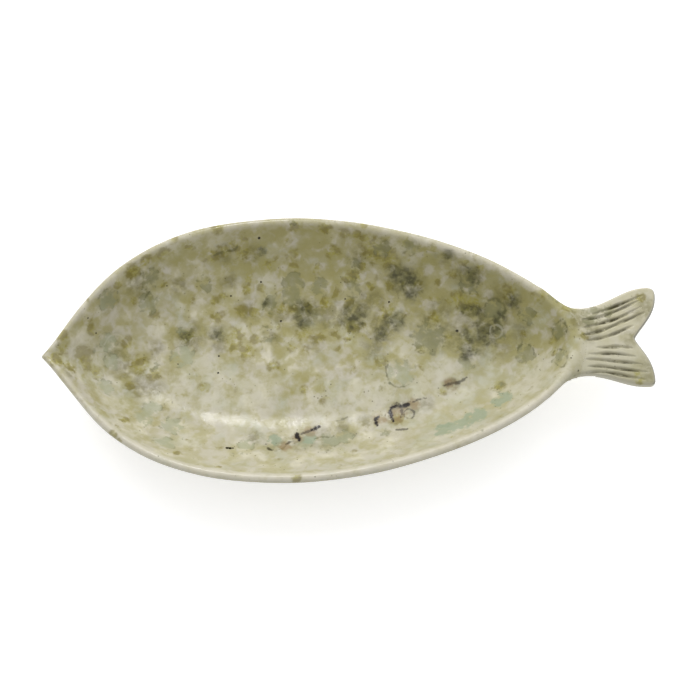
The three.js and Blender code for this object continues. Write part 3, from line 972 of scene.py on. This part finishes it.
def make_glazed_pieces():
    """The bowl and the tail fin, shaped as one soft body and parted at their joint."""
    mesh = rough_body()
    edges = read(mesh.edges, "vertices", 2, int)
    points = settle(read(mesh.vertices, "co", 3), rounds=2)[0]
    for rounds in (1, 2):
        points, span = settle(lerp(points, neighbour_mean(points, edges), 0.5), rounds)
    outward = vertex_normals(mesh, points)
    rim, under_rim, soft = rim_masks(points, span)
    soften(points, edges, soft)
    above_base = smoothstep(FOOT_HEIGHT, FLOOR_TOP, points[:, 2])
    points -= outward * (WOBBLE_DEPTH * above_base * hand_wobble(points))[:, None]
    groove = carved_depth(points)
    points[:, 2] -= groove
    faces, on_fin = split_faces(mesh, points)
    points[:, 0] += TO_MIDDLE
    normals = vertex_normals(mesh, points)
    bpy.data.meshes.remove(mesh)
    tree = BVHTree.FromPolygons(points.tolist(), [face.tolist() for face in faces])
    painted = {kind: bloom_field(points, tree, blooms) for kind, blooms in BLOOMS.items()}
    painted.update(rim=rim, under_rim=under_rim)
    painted.update(groove=groove / RAY_DEPTH, edge=painted_shade_edge(points, normals))
    pieces = []
    for name, node, own in (("glazed_bowl", "bowl", ~on_fin), ("glazed_tail_fin", "tail_fin", on_fin)):
        own_faces = [faces[i] for i in np.flatnonzero(own)]
        pieces.append(glazed_piece(name, node, points, own_faces, normals, painted))
    return pieces


# Foot ring
def make_foot_ring():
    corners = np.array([
        (-FOOT_INSET - FOOT_WIDTH, FOOT_HEIGHT),
        (-FOOT_INSET, FOOT_HEIGHT),
        (-FOOT_INSET - FOOT_TAPER, 0),
        (-FOOT_INSET - FOOT_WIDTH + FOOT_TAPER, 0),
    ])
    shares = np.linspace(0, 1, FOOT_EDGE_STEPS)
    section = [corners[:2]]
    for before, corner, after in (corners[[1, 2, 3]], corners[[2, 3, 0]]):
        start = corner + unit(before - corner) * FOOT_EDGE_ROUND
        end = corner + unit(after - corner) * FOOT_EDGE_ROUND
        section.append(bezier((start, corner, end), shares))
    section = np.vstack(section)
    plan = plan_points(np.broadcast_to(section[:, 0], (len(RUN), len(section))))
    heights = np.broadcast_to(section[:, 1], plan.shape[:2])
    points, faces = skin(np.concatenate([plan, heights[..., None]], axis=-1), closed=True)
    mesh = mesh_from("foot_ring_clay", points + (TO_MIDDLE, 0, 0), faces)
    mesh.shade_smooth()
    piece = placed("foot_ring_clay", mesh)
    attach(piece, "root")
    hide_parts("foot_ring")
    return piece


# Materials
class Graph:
    """Short names for the shader nodes of one material."""

    def __init__(self, name):
        self.material = bpy.data.materials.new(name)
        self.material.use_nodes = True
        self.tree = self.material.node_tree
        self.shader = self.tree.nodes["Principled BSDF"]

    def node(self, kind, inputs=None, **settings):
        node = self.tree.nodes.new("ShaderNode" + kind)
        for name, value in settings.items():
            setattr(node, name, value)
        self.feed(node, inputs or {})
        return node

    def feed(self, node, inputs):
        for key, value in inputs.items():
            if isinstance(value, bpy.types.NodeSocket):
                self.tree.links.new(value, node.inputs[key])
            else:
                node.inputs[key].default_value = value

    def math(self, operation, *values):
        return self.node("Math", dict(enumerate(values)), operation=operation).outputs[0]

    def times(self, a, b):
        return self.math("MULTIPLY", a, b)

    def plus(self, a, b):
        return self.math("ADD", a, b)

    def larger(self, a, b):
        return self.math("MAXIMUM", a, b)

    def smooth(self, value, low, high):
        """0 at the low value and 1 at the high one, with a soft start and end."""
        inputs = {"Value": value, "From Min": low, "From Max": high}
        return self.node("MapRange", inputs, interpolation_type="SMOOTHSTEP").outputs[0]

    def span(self, value, low, high):
        """The low number where the value is 0 and the high one where it is 1."""
        return self.node("MapRange", {"Value": value, "To Min": low, "To Max": high}).outputs[0]

    def graded(self, mask, by, low, high):
        """A mask made stronger or weaker by another one, from the low number to the high one."""
        return self.times(mask, self.span(by, low, high))

    def mix(self, factor, a, b):
        """Two colours mixed; a mix node has its colours at inputs 6 and 7 and at output 2."""
        return self.node("Mix", {0: factor, 6: a, 7: b}, data_type="RGBA").outputs[2]

    def noise(self, place, size, detail=2.0, output="Fac"):
        inputs = {"Vector": place, "Scale": 1 / size, "Detail": detail}
        return self.node("TexNoise", inputs).outputs[output]

    def vector(self, operation, *values):
        return self.node("VectorMath", dict(enumerate(values)), operation=operation).outputs[0]

    def moved(self, place, offset):
        return self.vector("ADD", place, offset)

    def warped(self, place, size, amount):
        sway = self.vector("SUBTRACT", self.noise(place, size, output="Color"), (0.5, 0.5, 0.5))
        return self.vector("MULTIPLY_ADD", sway, (amount, amount, amount), place)

    def scattered(self, place, size, share, radius):
        """1 in the middle of scattered blooms and 0.5 at their edge; share of the cells have one."""
        cells = self.node("TexVoronoi", {"Vector": place, "Scale": 1 / size})
        draw = self.node("SeparateColor", {0: cells.outputs["Color"]}).outputs[0]
        present = self.math("LESS_THAN", draw, share)
        inward = self.math("MULTIPLY_ADD", cells.outputs["Distance"], -0.5 / radius, 1)
        return self.times(inward, present)

    def painted(self, name):
        return self.node("Attribute", attribute_name=name).outputs["Fac"]


class Glaze(Graph):
    """Mottled reactive glaze: a pale ground under washes, blooms, specks and crackle, with painted light and
    shade.
    """

    def __init__(self):
        super().__init__("reactive_glaze")
        self.place = self.node("TexCoord").outputs["Object"]
        self.wandering = self.warped(self.place, size=8 * MM, amount=5 * MM)
        self.cloud = self.noise(self.wandering, size=14 * MM, detail=3)
        self.ragged = self.noise(self.wandering, size=5 * MM, detail=5)
        fine = self.noise(self.place, size=1.8 * MM)
        self.fray = self.plus(self.times(self.ragged, COARSE_FRAY), self.times(fine, FINE_FRAY))
        axes = self.node("SeparateXYZ", {0: self.place}).outputs
        self.tail = self.smooth(axes["X"], *TAIL_HALF)
        turned = self.plus(axes["Y"], self.times(axes["X"], FAR_SLANT))
        far_start = self.span(self.tail, *FAR_START)
        far_full = self.span(self.tail, *FAR_FULL)
        self.far = self.smooth(turned, far_start, far_full)
        self.near = self.smooth(self.plus(axes["Y"], self.times(self.tail, NEAR_SHIFT)), *NEAR_SIDE)
        self.on_fin = self.smooth(axes["X"], END_X + TO_MIDDLE, NECK_X + TO_MIDDLE)
        self.pale_rim = self.larger(self.near, self.smooth(axes["X"], *PALE_RIM))
        self.colour = self.mix(self.smooth(self.cloud, low=0.42, high=0.64), GROUND, CREAM)

    def cover(self, mask, tint, opacity):
        """The tint laid over what is there."""
        self.colour = self.mix(self.times(mask, opacity), self.colour, tint)

    def frayed(self, field, low, high, amount):
        """A bloom's mask with a ragged shape."""
        uneven = self.math("MULTIPLY_ADD", self.math("SUBTRACT", self.fray, 0.5), amount, 1)
        return self.smooth(self.times(field, uneven), low, high)

    def wash(self, tint, size, offset, low, high, opacity, more=None):
        """Soft patches of one tint, which are larger where there is more of it."""
        patch = self.noise(self.moved(self.wandering, offset), size, detail=3)
        if more:
            patch = self.plus(patch, self.times(more, WASH_GROWTH))
        self.cover(self.smooth(patch, low, high), tint, opacity)

    def bloom(self, name, size, share, radius, offset):
        """Blooms that were placed, and others scattered among them, smaller on the near side."""
        others = self.scattered(self.moved(self.wandering, offset), size, share, radius)
        others = self.graded(others, self.far, low=0.5, high=1)
        return self.larger(self.painted(name), self.graded(others, self.on_fin, low=1, high=0))

    def lay(self, *kinds):
        """Painted marks, one kind over the other."""
        for kind in kinds:
            tint, opacity, low, high, amount = LAYERS[kind]
            self.cover(self.frayed(self.painted(kind), low, high, amount), tint, opacity)

    def lay_washes(self):
        self.wash(CELADON, size=17 * MM, offset=(0.3, 0, 0), low=0.42, high=0.7, opacity=0.55, more=self.tail)
        self.wash(KHAKI, size=13 * MM, offset=(0, 0.3, 0), low=0.38, high=0.72, opacity=0.8, more=self.far)
        self.wash(KHAKI, size=6 * MM, offset=(0, 0, 0.3), low=0.42, high=0.7, opacity=0.6, more=self.far)
        self.wash(GROUND, size=8 * MM, offset=(0.2, 0.2, 0), low=0.5, high=0.7, opacity=0.65)
        # Partly painted light: the near side, which faces the lamps, made creamier
        self.cover(self.near, CREAM, opacity=0.25)
        self.cover(self.graded(self.on_fin, self.cloud, low=0.3, high=1.1), FIN_PALE, opacity=0.8)
        # Painted light and painted shade, partly paler and darker glaze
        self.lay("light", "shade")

    def lay_edges(self):
        rim = self.graded(self.painted("rim"), self.fray, low=0.2, high=1.1)
        rim = self.smooth(rim, low=0.2, high=0.8)
        self.cover(self.graded(rim, self.pale_rim, low=0.55, high=1), RIM_CREAM, opacity=0.75)
        # Painted shade under the rim's outer side, strongest on the near side
        under = self.graded(self.painted("under_rim"), self.near, low=0.1, high=1)
        self.cover(under, RIM_SHADE, opacity=0.65)
        # Painted shade on the fin's tips where their edge turns down
        self.cover(self.painted("edge"), EDGE_SHADE, opacity=0.8)

    def lay_blooms(self):
        olive = self.bloom("olive", size=9 * MM, share=0.3, radius=0.3, offset=(0.1, 0, 0))
        olive = self.frayed(olive, low=0.18, high=0.72, amount=5)
        tone = self.mix(self.smooth(self.ragged, low=0.4, high=0.6), OLIVE_SOFT, OLIVE)
        self.cover(self.graded(olive, self.cloud, low=0.5, high=1.3), tone, opacity=0.7)
        green = self.bloom("green", size=18 * MM, share=0.25, radius=0.3, offset=(0, 0.2, 0))
        green = self.frayed(green, low=0.33, high=0.63, amount=4)
        tone = self.mix(self.smooth(self.far, low=0.2, high=0.6), CELADON, GREEN)
        self.cover(self.graded(green, self.ragged, low=0.4, high=1), tone, opacity=0.8)
        edge = self.times(green, self.math("SUBTRACT", 1, green))
        self.cover(self.times(edge, self.smooth(self.ragged, low=0.48, high=0.6)), MOSS_SOFT, opacity=1.2)
        self.lay("pale")

    def lay_specks(self):
        cluster = self.frayed(self.painted("dark"), low=0.1, high=0.9, amount=3)
        dots = self.noise(self.moved(self.place, (0.5, 0, 0)), size=4 * MM)
        self.cover(cluster, MOSS_SOFT, opacity=0.6)
        self.cover(self.times(cluster, self.smooth(dots, low=0.44, high=0.64)), MOSS, opacity=0.6)
        speckle = self.scattered(self.place, size=2.6 * MM, share=0.3, radius=0.2)
        speckle = self.smooth(speckle, low=0.4, high=0.7)
        self.cover(self.times(speckle, self.smooth(self.cloud, low=0.45, high=0.62)), SPECKLE, opacity=0.6)
        iron = self.scattered(self.moved(self.place, (0, 0, 0.4)), size=19 * MM, share=0.2, radius=0.03)
        self.iron = self.frayed(self.larger(self.painted("iron"), iron), low=0.2, high=0.6, amount=4)
        self.cover(self.iron, IRON, opacity=1)
        self.lay("ring", "vein", "stain", "thin", "crack")

    def lay_grooves(self):
        broken = self.span(self.smooth(self.fray, low=0.34, high=0.58), low=0, high=0.8)
        pooled = self.larger(broken, self.smooth(self.painted("pool"), low=0.1, high=0.6))
        groove = self.smooth(self.painted("groove"), low=0.25, high=0.95)
        self.cover(self.times(groove, pooled), GROOVE, opacity=0.95)

    def finish(self):
        grain = self.noise(self.place, size=0.7 * MM, detail=1)
        height = self.plus(self.times(self.cloud, CLOUD_RELIEF), self.times(self.ragged, RAGGED_RELIEF))
        height = self.plus(height, self.times(grain, GRAIN_RELIEF))
        height = self.math("SUBTRACT", height, self.times(self.iron, PIT_RELIEF))
        bump = self.node("Bump", {"Height": height, "Strength": 0.9, "Distance": 0.5 * MM})
        satin = self.graded(self.tail, self.on_fin, low=1, high=0)
        roughness = self.span(satin, low=0.2, high=0.42)
        self.feed(self.shader, {
            "Base Color": self.colour,
            "Roughness": self.plus(roughness, self.span(self.ragged, low=-0.06, high=0.06)),
            "Specular IOR Level": 0.45,
            "Normal": bump.outputs[0],
        })


def make_glaze():
    glaze = Glaze()
    glaze.lay_washes()
    glaze.lay_edges()
    glaze.lay_blooms()
    glaze.lay_specks()
    glaze.lay_grooves()
    glaze.finish()
    return glaze.material


def make_clay():
    g = Graph("bare_stoneware")
    place = g.node("TexCoord").outputs["Object"]
    grit = g.noise(place, size=0.9 * MM, detail=3)
    cloud = g.noise(place, size=12 * MM, detail=3)
    colour = g.mix(g.smooth(cloud, low=0.35, high=0.7), CLAY, CLAY_TOASTED)
    colour = g.mix(g.smooth(grit, low=0.62, high=0.72), colour, CLAY_GRIT)
    bump = g.node("Bump", {"Height": grit, "Strength": 0.5, "Distance": 0.3 * MM})
    g.feed(g.shader, {
        "Base Color": colour,
        "Roughness": g.span(cloud, low=0.75, high=0.95),
        "Normal": bump.outputs[0],
    })
    return g.material


# Studio
def make_camera():
    data = bpy.data.cameras.new("camera")
    data.lens = CAMERA_LENS
    data.sensor_width = CAMERA_SENSOR
    camera = placed("camera", data)
    level = math.cos(CAMERA_ELEVATION)
    back = Vector((
        math.sin(CAMERA_AZIMUTH) * level, -math.cos(CAMERA_AZIMUTH) * level, math.sin(CAMERA_ELEVATION)
    ))
    camera.location = CAMERA_AIM + back * CAMERA_DISTANCE
    camera.rotation_euler = (-back).to_track_quat("-Z", "Y").to_euler()
    bpy.context.scene.camera = camera


def make_floor():
    corners = np.array([(-1, -1, 0), (1, -1, 0), (1, 1, 0), (-1, 1, 0)], float)
    mesh = mesh_from("floor", FLOOR_REACH * corners, [(0, 1, 2, 3)])
    floor = placed("floor", mesh)
    g = Graph("studio_floor")
    tint = g.noise(g.node("TexCoord").outputs["Object"], size=FLOOR_CLOUDS)
    seen = g.node("LightPath")
    shown = g.larger(seen.outputs["Is Camera Ray"], seen.outputs["Is Glossy Ray"])
    shown = g.larger(shown, seen.outputs["Is Transmission Ray"])
    g.feed(g.shader, {
        "Base Color": g.mix(tint, FLOOR_WHITE, FLOOR_PALE),
        "Roughness": FLOOR_ROUGHNESS,
        "Emission Color": (1, 1, 1, 1),
        "Emission Strength": g.times(shown, FLOOR_LIFT),
    })
    mesh.materials.append(g.material)


def make_softbox(name, place, size, energy, mirrored):
    data = bpy.data.lights.new(name, "AREA")
    data.shape = "RECTANGLE"
    data.size, data.size_y = size
    data.energy = energy
    light = placed(name, data)
    light.location = place
    light.visible_glossy = mirrored
    light.rotation_euler = (CAMERA_AIM - light.location).to_track_quat("-Z", "Y").to_euler()


def make_world():
    world = bpy.data.worlds.new("studio")
    bpy.context.scene.world = world
    world.use_nodes = True
    background = world.node_tree.nodes["Background"]
    background.inputs["Color"].default_value = (1, 1, 1, 1)
    background.inputs["Strength"].default_value = AMBIENT


bpy.context.scene.view_settings.view_transform = "Standard"
make_camera()
glaze = make_glaze()
for glazed in make_glazed_pieces():
    glazed.data.materials.append(glaze)
make_foot_ring().data.materials.append(make_clay())
make_floor()
for softbox, settings in SOFTBOXES.items():
    make_softbox(softbox, *settings)
make_world()
